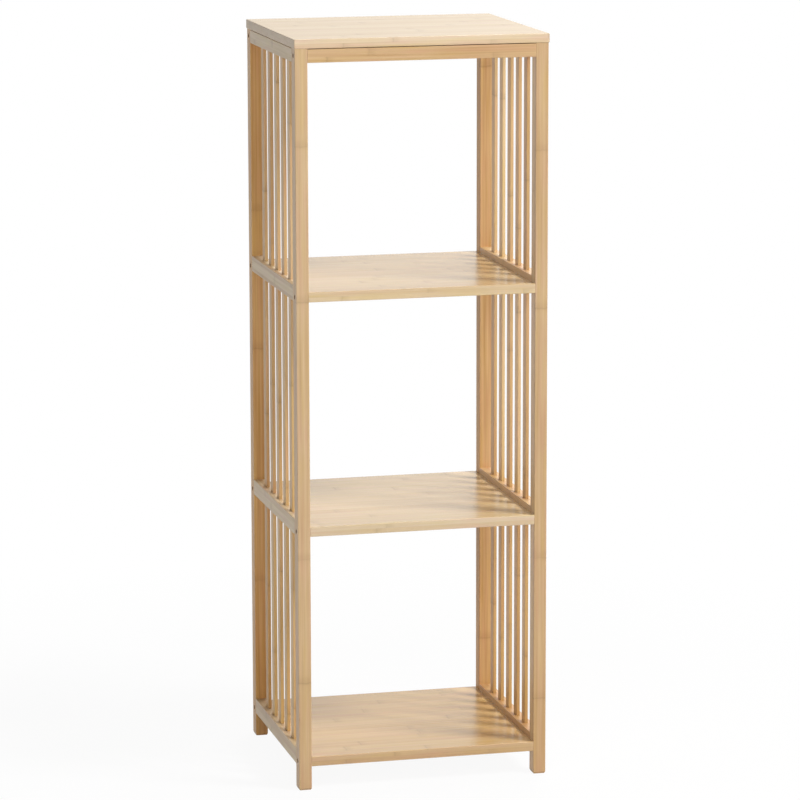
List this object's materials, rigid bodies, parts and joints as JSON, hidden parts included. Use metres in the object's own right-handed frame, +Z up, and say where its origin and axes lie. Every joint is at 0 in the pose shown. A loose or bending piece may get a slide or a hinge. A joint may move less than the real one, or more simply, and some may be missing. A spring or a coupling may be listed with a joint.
{
  "type": "slatted shelving unit",
  "caption": "Tall narrow open shelving unit of varnished bamboo, with a top panel, boards between two slatted side frames, square posts and flush bolts.",
  "frame": {"origin": "middle of the footprint, on the floor", "axes": "+X across the front to the viewer's right, +Y from the front to the back, +Z up"},
  "size_m": [0.342, 0.302, 1],
  "materials": {
    "board_bamboo": "strip-glued bamboo board, clear satin varnish",
    "bar_bamboo": "solid strip bamboo bar, clear satin varnish",
    "post_bamboo": "solid strip bamboo post, clear satin varnish",
    "slat_bamboo": "flat bamboo lath, clear gloss varnish",
    "bolt_steel": "zinc-plated steel",
    "insert_brass": "bare brass",
    "dowel_hardwood": "raw hardwood"
  },
  "bodies": {
    "root": {"top_panel": "board_bamboo", "apron_front": "bar_bamboo", "apron_back": "bar_bamboo", "post_front_left": "post_bamboo", "bolts_front_left": "bolt_steel", "inserts_front_left": "insert_brass", "post_front_right": "post_bamboo", "bolts_front_right": "bolt_steel", "inserts_front_right": "insert_brass", "post_back_left": "post_bamboo", "bolts_back_left": "bolt_steel", "inserts_back_left": "insert_brass", "post_back_right": "post_bamboo", "bolts_back_right": "bolt_steel", "inserts_back_right": "insert_brass", "rail_left_lower": "bar_bamboo", "rail_left_middle": "bar_bamboo", "rail_left_upper": "bar_bamboo", "rail_left_top": "bar_bamboo", "slat_left_lower_1": "slat_bamboo", "slat_left_lower_2": "slat_bamboo", "slat_left_lower_3": "slat_bamboo", "slat_left_lower_4": "slat_bamboo", "slat_left_lower_5": "slat_bamboo", "slat_left_middle_1": "slat_bamboo", "slat_left_middle_2": "slat_bamboo", "slat_left_middle_3": "slat_bamboo", "slat_left_middle_4": "slat_bamboo", "slat_left_middle_5": "slat_bamboo", "slat_left_upper_1": "slat_bamboo", "slat_left_upper_2": "slat_bamboo", "slat_left_upper_3": "slat_bamboo", "slat_left_upper_4": "slat_bamboo", "slat_left_upper_5": "slat_bamboo", "rail_right_lower": "bar_bamboo", "rail_right_middle": "bar_bamboo", "rail_right_upper": "bar_bamboo", "rail_right_top": "bar_bamboo", "slat_right_lower_1": "slat_bamboo", "slat_right_lower_2": "slat_bamboo", "slat_right_lower_3": "slat_bamboo", "slat_right_lower_4": "slat_bamboo", "slat_right_lower_5": "slat_bamboo", "slat_right_middle_1": "slat_bamboo", "slat_right_middle_2": "slat_bamboo", "slat_right_middle_3": "slat_bamboo", "slat_right_middle_4": "slat_bamboo", "slat_right_middle_5": "slat_bamboo", "slat_right_upper_1": "slat_bamboo", "slat_right_upper_2": "slat_bamboo", "slat_right_upper_3": "slat_bamboo", "slat_right_upper_4": "slat_bamboo", "slat_right_upper_5": "slat_bamboo", "shelf_lower": "board_bamboo", "shelf_middle": "board_bamboo", "shelf_upper": "board_bamboo", "dowels": "dowel_hardwood"}
  },
  "joints": []
}
